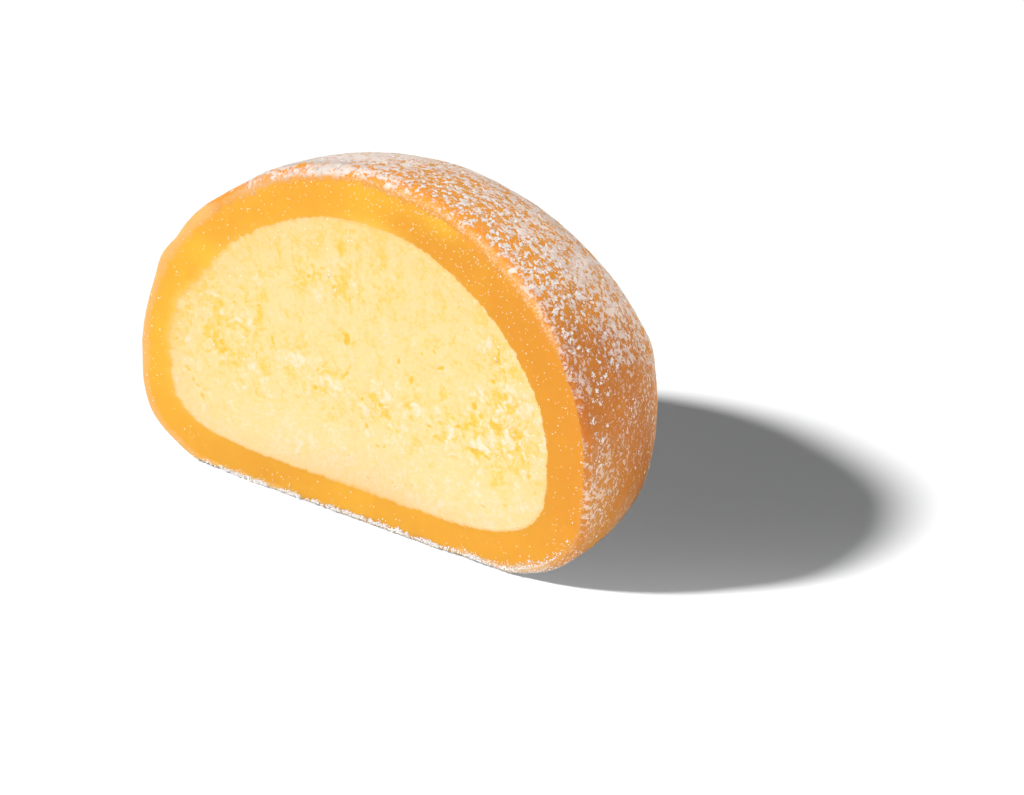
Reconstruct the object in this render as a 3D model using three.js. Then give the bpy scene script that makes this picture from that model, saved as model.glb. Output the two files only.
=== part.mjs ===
// Half of a round mochi rice cake, cut straight down and standing on its flat base.
// Two nodes: the soft dough skin, and the filling that it wraps, which shows at the cut.
// Millimetres, +Z up. The cut face looks along -Y and the round back lies at +Y.
import * as THREE from 'three';

// The rounded outside of the dough. "reach" is how far it bulges from its upright axis,
// "widest" is the level of that bulge, "crown" and "skirt" say how square it is above and
// below that level, and "tuck" above 1 leaves a flat base instead of a point.
const SKIN = {
  base: 0,
  height: 27.7,
  axisBehindCut: 0.33,
  right: { reach: 20.2, widest: 11.0, crown: 1.95, skirt: 3.43, tuck: 1.072 },
  left: { reach: 23.8, widest: 7.8, crown: 1.83, skirt: 3.69, tuck: 1.138 },
  backReach: 22.0,
};

// The filling inside it, by the same rules.
const FILLING = {
  base: 2.6,
  height: 24.0,
  axisBehindCut: 0,
  right: { reach: 16.5, widest: 10.5, crown: 1.83, skirt: 3.8, tuck: 1.01 },
  left: { reach: 20.1, widest: 9.9, crown: 1.68, skirt: 5.0, tuck: 1.01 },
  backReach: 18.6,
};
const CLEARANCE = 0.3; // between the filling and the dough round it

// The dough has sunk a little at the back, to the right of its top.
const SAG = { x: 6.6, y: 19.8, z: 19.8, spread: 6.6, amount: 0.068 };

// The knife left a crisp edge at the right and the base, and a soft rolled one from the
// top round to the left, deeper into the piece than it is wide.
const EDGE = { crisp: 0.4, soft: 0.84, softFrom: 72, softTo: 215, fade: 14, depthRatio: 1.5 };

const HEART = { x: 0, z: 11 }; // every ray that finds the surface starts here, on the cut
const COLUMNS = 96; // steps round the cut's outline
const EDGE_ROWS = 3; // steps over the rounded edge
const SKIN_ROWS = 14; // steps from the edge to the back
const INNER_ROWS = 13;
const SEARCH_REACH = 44; // longer than any ray
const SEARCH_STEPS = 40;

const smoothStep = (t) => {
  const c = Math.min(1, Math.max(0, t));
  return c * c * (3 - 2 * c);
};

// 1 on the surface of a form, less inside it and more outside.
function measure(form, sag, x, y, z) {
  const out = Math.hypot(x, y - form.axisBehindCut) || 1e-9;
  const side = x / out;
  const blend = (name) => (
    (form.right[name] + form.left[name]) / 2 + ((form.right[name] - form.left[name]) / 2) * side
  );
  const evenReach = (form.right.reach + form.left.reach) / 2;
  const reach = blend('reach') + (form.backReach - evenReach) * (1 - side * side);
  const widest = blend('widest');
  const above = z > widest;
  const power = above ? blend('crown') : blend('skirt');
  const span = above ? form.height - widest : (widest - form.base) * blend('tuck');
  const plain = ((out / reach) ** power + (Math.abs(z - widest) / span) ** power) ** (1 / power);
  const fromSag = (x - sag.x) ** 2 + (y - sag.y) ** 2 + (z - sag.z) ** 2;
  return plain + sag.amount * Math.exp(-fromSag / (2 * sag.spread ** 2));
}

// Distance from the heart to the surface, where "round" turns about the cut's outline and
// "back" leans from the cut (0) to straight behind it (90 degrees).
function rayLength(form, sag, round, back) {
  const dx = Math.cos(round) * Math.cos(back);
  const dy = Math.sin(back);
  const dz = Math.sin(round) * Math.cos(back);
  let near = 0;
  let far = SEARCH_REACH;
  for (let step = 0; step < SEARCH_STEPS; step += 1) {
    const middle = (near + far) / 2;
    const value = measure(form, sag, HEART.x + dx * middle, dy * middle, HEART.z + dz * middle);
    if (value < 1) near = middle;
    else far = middle;
  }
  const toBase = dz < -1e-6 ? (HEART.z - form.base) / -dz : SEARCH_REACH;
  return Math.min(near, toBase);
}

// How far the cut's edge is drawn in at this direction round the outline.
function edgeDrawIn(round) {
  const degrees = ((THREE.MathUtils.radToDeg(round) + 90) % 360 + 360) % 360 - 90;
  const rises = smoothStep((degrees - EDGE.softFrom) / EDGE.fade + 0.5);
  const falls = smoothStep((EDGE.softTo - degrees) / EDGE.fade + 0.5);
  return EDGE.crisp + (EDGE.soft - EDGE.crisp) * rises * falls;
}

function pointAt(form, sag, round, back, drawIn) {
  const length = rayLength(form, sag, round, back);
  const y = Math.sin(back) * length;
  const outward = Math.cos(back) * length;
  const depth = drawIn * EDGE.depthRatio;
  const along = depth > 0 ? Math.max(0, 1 - y / depth) : 0;
  const inward = drawIn * (1 - Math.sqrt(1 - along * along));
  const radius = outward - inward;
  const z = Math.max(form.base, HEART.z + Math.sin(round) * radius);
  return [HEART.x + Math.cos(round) * radius, y, z];
}

// The leans of the rows at one direction: a few over the rounded edge, then even steps back.
function leansAt(form, sag, round, drawIn, edgeRows, rows) {
  const atCut = rayLength(form, sag, round, 0);
  const leans = [];
  for (let k = 0; k < edgeRows; k += 1) {
    const turn = (Math.PI / 2) * (k / edgeRows);
    leans.push((drawIn * EDGE.depthRatio * (1 - Math.cos(turn))) / atCut);
  }
  const start = (drawIn * EDGE.depthRatio) / atCut;
  for (let k = 0; k < rows; k += 1) {
    leans.push(start + (Math.PI / 2 - start) * (k / rows));
  }
  return leans;
}

// A half shell as rings of points from the cut to the back, with one last point behind.
function halfShell(form, sag, drawInAt, edgeRows, rows) {
  const rings = Array.from({ length: edgeRows + rows }, () => []);
  for (let column = 0; column < COLUMNS; column += 1) {
    const round = (2 * Math.PI * column) / COLUMNS;
    const drawIn = drawInAt(round);
    const leans = leansAt(form, sag, round, drawIn, edgeRows, rows);
    leans.forEach((lean, row) => rings[row].push(pointAt(form, sag, round, lean, drawIn)));
  }
  return { rings, tip: pointAt(form, sag, 0, Math.PI / 2, 0) };
}

// Collects points and triangles of one closed mesh.
class Surface {
  constructor() {
    this.positions = [];
    this.triangles = [];
  }

  addPoint(point) {
    this.positions.push(...point);
    return this.positions.length / 3 - 1;
  }

  addRing(ring) {
    return ring.map((point) => this.addPoint(point));
  }

  addTriangle(a, b, c, outside) {
    this.triangles.push(...(outside ? [a, b, c] : [a, c, b]));
  }

  // Joins two rings; "outside" is true where the second ring lies behind an outer surface.
  joinRings(first, second, outside) {
    for (let k = 0; k < first.length; k += 1) {
      const next = (k + 1) % first.length;
      this.addTriangle(first[k], second[k], second[next], outside);
      this.addTriangle(first[k], second[next], first[next], outside);
    }
  }

  closeRing(ring, tip, outside) {
    for (let k = 0; k < ring.length; k += 1) {
      this.addTriangle(ring[k], tip, ring[(k + 1) % ring.length], outside);
    }
  }

  // Adds a half shell and returns the indices of its ring on the cut.
  addShell(shell, outside) {
    const rings = shell.rings.map((ring) => this.addRing(ring));
    for (let k = 0; k + 1 < rings.length; k += 1) this.joinRings(rings[k], rings[k + 1], outside);
    this.closeRing(rings[rings.length - 1], this.addPoint(shell.tip), outside);
    return rings[0];
  }

  toGeometry() {
    const geometry = new THREE.BufferGeometry();
    geometry.setAttribute('position', new THREE.Float32BufferAttribute(this.positions, 3));
    geometry.setIndex(this.triangles);
    geometry.computeVertexNormals();
    return geometry;
  }
}

// The same form, larger all round by one distance.
function grown(form, by) {
  const widen = (side) => ({ ...side, reach: side.reach + by });
  return {
    ...form,
    base: form.base - by,
    height: form.height + by,
    right: widen(form.right),
    left: widen(form.left),
    backReach: form.backReach + by,
  };
}

const NO_SAG = { ...SAG, amount: 0 };
const noEdge = () => 0;

function makeDough() {
  const surface = new Surface();
  const outer = surface.addShell(halfShell(SKIN, SAG, edgeDrawIn, EDGE_ROWS, SKIN_ROWS), true);
  const pocket = grown(FILLING, CLEARANCE);
  const inner = surface.addShell(halfShell(pocket, NO_SAG, noEdge, 0, INNER_ROWS), false);
  surface.joinRings(inner, outer, true);
  return surface.toGeometry();
}

function makeFilling() {
  const surface = new Surface();
  const rim = surface.addShell(halfShell(FILLING, NO_SAG, noEdge, 0, INNER_ROWS), true);
  surface.closeRing(rim, surface.addPoint([HEART.x, 0, HEART.z]), false);
  return surface.toGeometry();
}

const DOUGH_LOOK = new THREE.MeshStandardMaterial({ color: '#f0a13f', roughness: 0.55, metalness: 0 });
const FILLING_LOOK = new THREE.MeshStandardMaterial({ color: '#fbe39c', roughness: 0.8, metalness: 0 });

const dough = new THREE.Mesh(makeDough(), DOUGH_LOOK);
dough.name = 'dough_skin';
const filling = new THREE.Mesh(makeFilling(), FILLING_LOOK);
filling.name = 'filling';

// The half cake stands with the middle of its own box over the origin.
const group = new THREE.Group();
group.add(dough, filling);
const box = new THREE.Box3().setFromObject(dough);
const middle = box.getCenter(new THREE.Vector3());
group.position.set(-middle.x, -middle.y, -box.min.z);

export default group;
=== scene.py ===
"""Half of a round mochi rice cake: orange rice dough, dusted outside, round a pale crumbly filling.

Everything is worked out in millimetres in the frame of the cut: x runs along the cut, y goes
back from the cut face, z is up from the surface that the cake stands on. place() turns that
into the model's own frame, in metres. Directions round the cut start at the right.
"""
import itertools
import math

import bpy
import numpy as np
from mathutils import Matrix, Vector


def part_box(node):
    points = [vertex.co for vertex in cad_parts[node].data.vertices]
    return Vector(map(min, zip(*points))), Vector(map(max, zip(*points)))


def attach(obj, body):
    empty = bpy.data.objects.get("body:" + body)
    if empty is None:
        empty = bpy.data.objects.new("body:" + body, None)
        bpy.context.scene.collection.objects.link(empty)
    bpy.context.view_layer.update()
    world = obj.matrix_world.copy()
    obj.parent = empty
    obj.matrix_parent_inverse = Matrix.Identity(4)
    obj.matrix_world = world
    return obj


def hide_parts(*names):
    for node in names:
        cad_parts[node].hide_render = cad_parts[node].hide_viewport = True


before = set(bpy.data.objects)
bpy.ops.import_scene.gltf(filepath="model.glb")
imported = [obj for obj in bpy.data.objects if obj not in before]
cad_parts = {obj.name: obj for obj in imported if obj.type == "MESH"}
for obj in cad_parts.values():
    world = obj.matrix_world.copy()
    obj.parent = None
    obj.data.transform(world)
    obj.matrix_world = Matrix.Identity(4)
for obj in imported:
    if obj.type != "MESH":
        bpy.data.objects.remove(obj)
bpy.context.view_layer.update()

MM = 0.001
HALF_TURN = math.pi
FULL_TURN = 2 * math.pi
QUARTER_TURN = math.pi / 2
TINY = 1e-6

# ---- the cake's form, as in the CAD

SKIN = dict(
    base=0.0, height=27.7, axis_behind_cut=0.33, back_reach=22.0,
    right=dict(reach=20.2, widest=11.0, crown=1.95, skirt=3.43, tuck=1.072),
    left=dict(reach=23.8, widest=7.8, crown=1.83, skirt=3.69, tuck=1.138),
    sag=dict(centre=(6.6, 19.8, 19.8), spread=6.6, amount=0.068),
)
FILLING = dict(
    base=2.6, height=24.0, axis_behind_cut=0.0, back_reach=18.6,
    right=dict(reach=16.5, widest=10.5, crown=1.83, skirt=3.8, tuck=1.01),
    left=dict(reach=20.1, widest=9.9, crown=1.68, skirt=5.0, tuck=1.01),
)
# The cut's edge where it is crisp and where it is soft: how far it is drawn in, and how far
# back its rounding reaches.
EDGE_DRAWN_IN = (0.4, 0.84)
EDGE_DEPTH = (0.36, 1.26)
# Where the edge is soft: first and last degrees round the cut, and how soft.
SOFT_EDGES = ((72, 215, 1), (-56, -16, 0.6), (24, 76, 0.35))
EDGE_FADE = 14
HEART_Z = 11.0  # every ray that finds a surface starts on the cut at x = 0 and this height
SEARCH_REACH = 44.0
SEARCH_STEPS = 34


def smooth_step(t):
    t = np.clip(t, 0.0, 1.0)
    return t * t * (3.0 - 2.0 * t)


def measure(form, x, y, z):
    """1 on the surface of a form, less inside it and more outside."""
    right, left = form["right"], form["left"]
    out = np.hypot(x, y - form["axis_behind_cut"]) + 1e-9
    side = x / out

    def blend(name):
        return (right[name] + left[name]) / 2 + (right[name] - left[name]) / 2 * side

    even_reach = (right["reach"] + left["reach"]) / 2
    reach = blend("reach") + (form["back_reach"] - even_reach) * (1 - side * side)
    widest = blend("widest")
    above = z > widest
    power = np.where(above, blend("crown"), blend("skirt"))
    span = np.where(above, form["height"] - widest, (widest - form["base"]) * blend("tuck"))
    plain = ((out / reach) ** power + (np.abs(z - widest) / span) ** power) ** (1 / power)
    if "sag" not in form:
        return plain
    sag = form["sag"]
    from_sag = sum((value - middle) ** 2 for value, middle in zip((x, y, z), sag["centre"]))
    return plain + sag["amount"] * np.exp(-from_sag / (2 * sag["spread"] ** 2))


def ray_length(form, around, lean=0.0):
    """Distance from the heart to the surface, turned about the cut and leant back from it."""
    dx = np.cos(around) * np.cos(lean)
    dy = np.sin(lean)
    dz = np.sin(around) * np.cos(lean)
    near = np.zeros_like(dx)
    far = np.full_like(dx, SEARCH_REACH)
    for _ in range(SEARCH_STEPS):
        middle = (near + far) / 2
        inside = measure(form, dx * middle, dy * middle, HEART_Z + dz * middle) < 1
        near = np.where(inside, middle, near)
        far = np.where(inside, far, middle)
    to_base = (HEART_Z - form["base"]) / np.maximum(-dz, TINY)
    return np.where(dz < -TINY, np.minimum(near, to_base), near)


def cut_plane_points(around, radius, y):
    """Points at a distance from the heart's upright line through y, in directions round the cut."""
    return np.stack([np.cos(around) * radius, y + 0 * radius, HEART_Z + np.sin(around) * radius], axis=1)


def degrees_round(around):
    """Degrees round the cut, from -90 to 270."""
    return np.mod(np.degrees(around) + 90.0, 360.0) - 90.0


def between(degrees, first, last, fade):
    """1 between two directions, 0 elsewhere, smooth over the fade."""
    return smooth_step((degrees - first) / fade + 0.5) * smooth_step((last - degrees) / fade + 0.5)


def bumps_round(around, bumps):
    """The sum of bumps, each given as degrees round the cut, spread and height."""
    degrees = degrees_round(around)
    return sum(height * np.exp(-((degrees - middle) / spread) ** 2) for middle, spread, height in bumps)


def edge_rounding(around):
    """How far the cut's edge is drawn in, and how far back its rounding reaches."""
    degrees = degrees_round(around)
    softness = np.zeros_like(degrees)
    for first, last, amount in SOFT_EDGES:
        softness = np.maximum(softness, amount * between(degrees, first, last, EDGE_FADE))
    return [crisp + (soft - crisp) * softness for crisp, soft in (EDGE_DRAWN_IN, EDGE_DEPTH)]


def cut_rim(around):
    """Distance from the heart to the edge of the flat cut face."""
    return ray_length(SKIN, around) - edge_rounding(around)[0]


# ---- noise and soft patches

GRADIENTS = np.array([g for g in itertools.product((-1, 0, 1), repeat=3) if sum(map(abs, g)) == 2],
                     dtype=float)
HASH_X, HASH_Y, HASH_Z, HASH_SEED, HASH_MIX = 374761393, 668265263, 2147483647, 1274126177, 2654435761
WORD = 0xFFFFFFFF


def hashed(cells, seed):
    """A whole number from 0 to 2^32 for each lattice cell."""
    h = (cells[..., 0] * HASH_X + cells[..., 1] * HASH_Y + cells[..., 2] * HASH_Z + seed * HASH_SEED)
    h = h & WORD
    h = ((h ^ (h >> 13)) * HASH_MIX) & WORD
    h = ((h ^ (h >> 16)) * HASH_X) & WORD
    return h ^ (h >> 15)


def noise(points, size, seed):
    """Smooth gradient noise from about -1 to 1, with features of the given size."""
    p = points / size
    cell = np.floor(p).astype(np.int64)
    f = p - cell
    fade = f * f * f * (f * (f * 6 - 15) + 10)
    total = np.zeros(len(p))
    for corner in itertools.product((0, 1), repeat=3):
        corner = np.array(corner)
        gradient = GRADIENTS[hashed(cell + corner, seed) % len(GRADIENTS)]
        weight = np.prod(np.where(corner == 1, fade, 1 - fade), axis=1)
        total += weight * ((f - corner) * gradient).sum(axis=1)
    return total


def layered_noise(points, size, octaves, seed, gain=0.5):
    total = np.zeros(len(points))
    for k in range(octaves):
        total += gain ** k * noise(points, size / 2 ** k, seed + k)
    return total


def cell_noise(points, size, seed):
    """Distances to the nearest two of scattered points, in cell sizes, and the nearest's number."""
    p = points / size
    cell = np.floor(p).astype(np.int64)
    first = np.full(len(p), 9.0)
    second = np.full(len(p), 9.0)
    number = np.zeros(len(p))
    for step in itertools.product((-1, 0, 1), repeat=3):
        other = cell + np.array(step)
        scattered = np.stack([hashed(other, seed + k) / WORD for k in range(3)], axis=1)
        distance = np.linalg.norm(other + scattered - p, axis=1)
        nearer = distance < first
        second = np.where(nearer, first, np.minimum(second, distance))
        first = np.where(nearer, distance, first)
        number = np.where(nearer, hashed(other, seed + 3) / WORD, number)
    return first, second, number


def spot(x, z, centre, radii, lean=0.0, sharpness=1.0):
    """1 at the middle of an ellipse on the cut face, falling to 0 round it."""
    turn = math.radians(lean)
    u = (x - centre[0]) * math.cos(turn) + (z - centre[1]) * math.sin(turn)
    v = -(x - centre[0]) * math.sin(turn) + (z - centre[1]) * math.cos(turn)
    distance = (u / radii[0]) ** 2 + (v / radii[1]) ** 2
    return np.exp(-distance ** sharpness)


def patch_sum(x, z, patches):
    """Patches on the cut face, each given as centre (x, z), radii and strength; from 0 to 1."""
    return np.clip(sum(strength * spot(x, z, centre, radii) for centre, radii, strength in patches), 0, 1)


def with_places(amount, points, places):
    """Adds soft round patches, each given as centre, spread and change, to an amount."""
    for centre, spread, change in places:
        away = ((points - np.array(centre)) ** 2).sum(axis=1)
        amount = amount + change * np.exp(-away / (2 * spread ** 2))
    return amount


# ---- meshes

def frame_shift():
    """The shift from the cut's frame to the model's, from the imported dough's box."""
    low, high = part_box("dough_skin")
    around = np.linspace(0, FULL_TURN, 720)
    x = np.cos(around) * ray_length(SKIN, around)
    return np.array([(low[0] + high[0]) / 2 / MM - (x.min() + x.max()) / 2, low[1] / MM, 0.0])


SHIFT = frame_shift()


def place(points):
    """Millimetres in the cut's frame to metres in the model's frame."""
    return (points + SHIFT) * MM


FIRST_CORNER = 1.25 * HALF_TURN - TINY   # where a grid's rim begins


def disc_grid(steps):
    """A square grid pulled out to a disc: angle, rings in from the rim, faces, and the rim in order."""
    half = steps // 2
    i, j = np.meshgrid(np.arange(steps + 1), np.arange(steps + 1), indexing="ij")
    a = (i.ravel() - half).astype(float)
    b = (j.ravel() - half).astype(float)
    wide = np.abs(a) > np.abs(b)
    with np.errstate(divide="ignore", invalid="ignore"):
        angle = np.where(wide, HALF_TURN / 4 * b / a, QUARTER_TURN - HALF_TURN / 4 * a / b)
    reach = np.where(wide, a, b)
    angle = np.where(reach < 0, angle + HALF_TURN, angle)
    angle = np.where(np.isfinite(angle), angle, 0.0)
    ring = half - np.abs(reach)
    corner = (i[:-1, :-1] * (steps + 1) + j[:-1, :-1]).ravel()
    faces = np.stack([corner, corner + steps + 1, corner + steps + 2, corner + 1], axis=1)
    rim = np.flatnonzero(ring == 0)
    rim = rim[np.argsort(np.mod(angle[rim] - FIRST_CORNER, FULL_TURN))]
    return angle, ring, faces, rim


def carried_on(disc, faces, rim, rings, tip):
    """Carries a disc on from its rim through rings of points to a tip: points, quads and fan."""
    last, total = rim, len(disc)
    quads = [faces]
    for ring in rings:
        numbers = total + np.arange(len(ring))
        quads.append(np.stack([last, np.roll(last, -1), np.roll(numbers, -1), numbers], axis=1))
        last = numbers
        total += len(ring)
    fan = np.stack([last, np.roll(last, -1), np.full(len(last), total)], axis=1)
    return np.concatenate([disc, *rings, tip]), np.concatenate(quads), fan


def walls_behind(around, leans, gap):
    """Rings of points a gap outside the filling's form behind the cut, and the tip they end in."""
    rings = []
    for lean in leans:
        length = ray_length(FILLING, around, lean) + gap
        rings.append(cut_plane_points(around, np.cos(lean) * length, np.sin(lean) * length))
    return rings, np.array([[0.0, FILLING["back_reach"] + gap, HEART_Z]])


def new_item(name, data):
    item = bpy.data.objects.new(name, data)
    bpy.context.scene.collection.objects.link(item)
    return item


def make_mesh(name, points, quads=(), triangles=(), attributes=None, smooth=True, sharp=()):
    """A mesh object from points in the cut's frame, with one float attribute for each name.

    Edges between two points listed in sharp aren't shaded round."""
    mesh = bpy.data.meshes.new(name)
    corners = np.concatenate([np.ravel(quads), np.ravel(triangles)]).astype(np.int32)
    starts = np.concatenate([np.arange(len(quads)) * 4, len(quads) * 4 + np.arange(len(triangles)) * 3])
    mesh.vertices.add(len(points))
    mesh.vertices.foreach_set("co", place(points).astype(np.float32).ravel())
    mesh.loops.add(len(corners))
    mesh.loops.foreach_set("vertex_index", corners)
    mesh.polygons.add(len(starts))
    mesh.polygons.foreach_set("loop_start", starts.astype(np.int32))
    mesh.update(calc_edges=True)
    mesh.validate()
    mesh.polygons.foreach_set("use_smooth", np.full(len(starts), smooth))
    if len(sharp):
        chosen = np.zeros(len(points), dtype=bool)
        chosen[sharp] = True
        ends = read_all(mesh.edges, "vertices", 2, np.int32)
        mesh.edges.foreach_set("use_edge_sharp", chosen[ends].all(axis=1))
    for key, values in (attributes or {}).items():
        layer = mesh.attributes.new(key, "FLOAT", "POINT")
        layer.data.foreach_set("value", np.asarray(values, dtype=np.float32))
    return new_item(name, mesh)


def read_all(items, key, width, kind=float):
    """One property of all a mesh's points, edges or faces, as rows."""
    values = np.empty(len(items) * width, dtype=kind)
    items.foreach_get(key, values)
    return values.reshape(-1, width)


# ---- the dough

SKIN_GRID = 260       # steps across the disc that becomes the rounded outside
EDGE_RINGS = 6        # rings over the rounded cut edge
FACE_RINGS = 18       # rings across the dough's cut face
POCKET_LEANS = (0.03, 0.35, 0.8, 1.2)  # leans of the hidden pocket wall's rings, in radians
POCKET_GAP = 0.15     # mm between the pocket's wall and the filling's form
OVERLAP = 0.05        # mm that the dough's cut face runs on under the filling's edge

# Lumps and dents that the hand and the knife left on the outside: centre, spread and height.
SKIN_LUMPS = (
    ((-13.5, 0.6, 23.2), 2.6, -0.22),  # flat above the left shoulder
    ((-18, 0.6, 20.2), 1.3, 0.1),      # corner of the left shoulder
    ((-20.2, 0.6, 17.8), 0.8, -0.1),   # notch under it
    ((-21.4, 0.6, 15.9), 1.1, 0.3),    # corner under the notch
    ((-23, 0, 10), 6.5, -0.2),         # the left side, a little flattened
    ((-19.5, 0.2, 2.4), 2.2, -0.22),
    ((15.2, 12.9, 14.4), 1.3, 0.26),   # corner behind the right shoulder
    ((17, 11.6, 10.4), 0.8, 0.16),
    ((16.6, 12.6, 8.4), 0.7, -0.14),
    ((10, 8.6, 23.6), 0.7, 0.12),
    ((17.5, 12.5, 6), 2, -0.15),
)
# Creases where the dough was pinched: two ends, half width and depth.
SKIN_CREASES = (
    ((20, 6.5, 10.5), (17.5, 12, 15), 0.5, 0.16),
    ((19.4, 8, 7), (18.2, 11, 12), 0.35, 0.1),
    ((17.8, 4, 3), (17, 9.5, 5.5), 0.4, 0.12),
)
# Where the filling's outline is more torn than elsewhere: degrees round the cut, spread, size.
TORN_EDGE = ((156, 27, 0.34), (25, 40, 0.12), (185, 24, 0.18), (-90, 60, 0.06), (240, 30, 0.07))
# Where the filling's outline lies nearer the heart than the plain form: degrees, spread, mm.
OUTLINE_DENTS = ((165, 9, -0.6), (150, 8, -0.15), (90, 12, -0.28))
# Yellow patches on the dough's cut face: centre (x, z), radii and strength.
YELLOW_PATCHES = (
    ((6.8, 25.6), (2.2, 1.2), 0.7), ((-16.6, 17.4), (2, 1.3), 0.7),
    ((-18.8, 14.6), (0.8, 2.6), 0.4), ((2, 26), (3.5, 0.6), 0.3),
)
# How deep the cut dough's colour is, and where it is deeper or lighter: degrees, spread, change.
DEPTH_ELSEWHERE = 0.7
DEPTH_ROUND = ((10, 36, 0.42), (66, 12, 0.22), (92, 12, -0.34), (135, 28, -0.18), (185, 20, -0.38),
               (222, 14, 0.1), (258, 16, -0.14))
# Where the filling's yellow shows through the dough beside it: degrees, spread and strength.
SHOWN_THROUGH = ((90, 14, 0.4), (148, 14, 0.22), (174, 13, 0.7), (195, 14, 0.22))
SHOWN_REACH = 1.0  # mm
POCKET_FADE = 1.2  # mm over which less light enters the dough beside the filling

# How thickly the powder lies, by place on the skin: centre, spread, change.
POWDER_EVERYWHERE = 0.322
POWDER_LEAST, POWDER_MOST = 0.05, 0.96
POWDER_PLACES = (
    ((-6.5, 1.5, 27), 3.6, 0.5),       # nearly solid on the ridge behind the cut's top
    ((-7.5, 0.8, 26.4), 0.4, -0.66),   # small bare patches on the ridge
    ((-6.8, 0.9, 26.7), 0.42, -0.66),
    ((-8.6, 0.5, 25.7), 0.3, -0.6),
    ((-10, 0.3, 24.8), 0.4, -0.6),
    ((-2, 9, 26), 5, 0.24),
    ((3.5, 2, 27), 2.4, -0.2),
    ((12, 13, 20), 5, 0.2),
    ((9.5, 1.5, 24.5), 2.6, -0.14),
    ((19.6, 1, 8), 2.2, 0.14),         # thicker beside the cut, low on the right
    ((19.4, 3, 15), 3, -0.14),
    ((19, 8.5, 7), 3, -0.14),
    ((18.6, 5, 2.5), 3, -0.4),         # thin low on the right
    ((15.5, 12, 2.5), 5, -0.2),
    ((-2, 18, 14), 9, 0.14),
    ((-14.3, 0.5, 22.4), 2.2, -0.48),  # wiped off along the left of the cut's edge
    ((-18.5, 0.5, 18), 3, -0.6),
    ((-22, 0.5, 11), 4, -0.6),
    ((-20, 0.5, 3), 3.5, -0.45),
)
# Painted light: where the bare skin beside the cut is painted lighter and yellower, for light that comes
# through it; given in the same way.
LIT_PLACES = (((20.4, 0.6, 8.5), 2.2, 0.45), ((19, 2.5, 3.8), 2.4, 0.4), ((17.5, 1, 1.2), 2.6, 0.4))
# Where a thin even haze of powder lies, given in the same way.
HAZY_PLACES = (
    ((18.4, 6, 3.8), 1.5, 0.5),
    ((13, 0.3, 0.8), 2.2, 0.8),      # the pale lip
    ((-11.5, 0.5, 25.2), 1.7, 0.5),  # along the left shoulder
)
# How the powder meets the cut: first and last degrees round it, how far behind the edge the
# powder begins, how strongly it is smeared over the edge (0 to 1), how ragged that is, and how
# far the paler rim reaches over the cut face; all but the smear in mm.
POWDER_ENDS = (
    (24, 62, 0.46, 1, 0.3, 0.16),       # smeared thin along the upper right
    (62, 98, 0.36, 1, 0.3, 0.18),
    (98, 128, 0.16, 0.7, 0.3, 0.22),    # thick right up to the edge at the top
    (128, 150, 0.34, 0.4, 0.36, 0.22),
    (148, 232, 1.3, 0, 0.3, 0.45),      # wiped off on the left
    (232, 300, 0.8, 0.2, 0.3, 0.15),    # almost bare under the front of the base
    (-120, -54, 0.8, 0.2, 0.3, 0.15),
    (-54, -28, 0.34, 0.7, 0.24, 0.42),  # a soft pale lip low on the right
    (-28, -16, 0.34, 0.6, 0.2, 0.12),
)
POWDER_END_ELSEWHERE = (0, 0.25, 0.08, 0.1)
POWDER_END_FADE = 9


def distance_to_segment(points, start, end):
    start, end = np.array(start), np.array(end)
    along = np.clip(((points - start) @ (end - start)) / ((end - start) @ (end - start)), 0, 1)
    return np.linalg.norm(points - start - along[:, None] * (end - start), axis=1)


def skin_relief(points):
    """How far the dough's outside stands out from the plain form, in millimetres."""
    height = 0.1 * noise(points, 7.0, 11) + 0.05 * noise(points, 2.6, 12)
    height += 0.025 * layered_noise(points, 0.9, 2, 13)
    height = with_places(height, points, SKIN_LUMPS)
    for start, end, width, depth in SKIN_CREASES:
        height -= depth * np.exp(-(distance_to_segment(points, start, end) / width) ** 2)
    return height * smooth_step(points[:, 2] / 1.2)


def rounded_skin(around, lean):
    """Points on the plain outside with its rounded cut edge, and 1 to 0 over that rounding."""
    draw_in, depth = edge_rounding(around)
    length = ray_length(SKIN, around, lean)
    y = np.sin(lean) * length
    along = np.clip(1 - y / depth, 0, 1)
    radius = np.cos(lean) * length - draw_in * (1 - np.sqrt(1 - along * along))
    return cut_plane_points(around, radius, y), along


def skin_points(around, ring):
    """Points on the outside; ring 0 is the cut's edge and the grid's middle is straight behind."""
    start = edge_rounding(around)[1] / ray_length(SKIN, around)
    on_edge = start * (1 - np.cos(QUARTER_TURN * np.minimum(ring / EDGE_RINGS, 1)))
    beyond = np.clip((ring - EDGE_RINGS) / (SKIN_GRID // 2 - EDGE_RINGS), 0, 1)
    lean = np.where(ring < EDGE_RINGS, on_edge, start + (QUARTER_TURN - start) * beyond)
    points, _ = rounded_skin(around, lean)
    outwards = points - np.array([0, 0, HEART_Z])
    outwards /= np.linalg.norm(outwards, axis=1)[:, None]
    points += outwards * skin_relief(points)[:, None]
    points[:, 2] = np.maximum(points[:, 2], 0)
    points[:, 1] = np.where(ring == 0, 0, points[:, 1])
    return points


def filling_outline(around):
    """The filling's ragged outline on the cut face, as a distance from the heart."""
    plain = ray_length(FILLING, around)
    plain = plain + bumps_round(around, OUTLINE_DENTS)
    points = np.stack([np.cos(around) * plain, 0 * plain, np.sin(around) * plain], axis=1)
    torn = bumps_round(around, TORN_EDGE)
    coarse = noise(points, 2.2, 21) + 0.9 * noise(points, 0.9, 22)
    fine = layered_noise(points, 0.55, 3, 23, 0.7)
    return plain + torn * coarse + (0.09 + 0.34 * torn) * fine


def powder_amount(points):
    """The share of the skin that the powder covers at each point."""
    amount = POWDER_EVERYWHERE + 0.14 * smooth_step((points[:, 2] - 8) / 16)
    amount = amount + 0.14 * noise(points, 4.5, 31) + 0.14 * noise(points, 1.6, 32)
    return np.clip(with_places(amount, points, POWDER_PLACES), POWDER_LEAST, POWDER_MOST)


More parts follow.
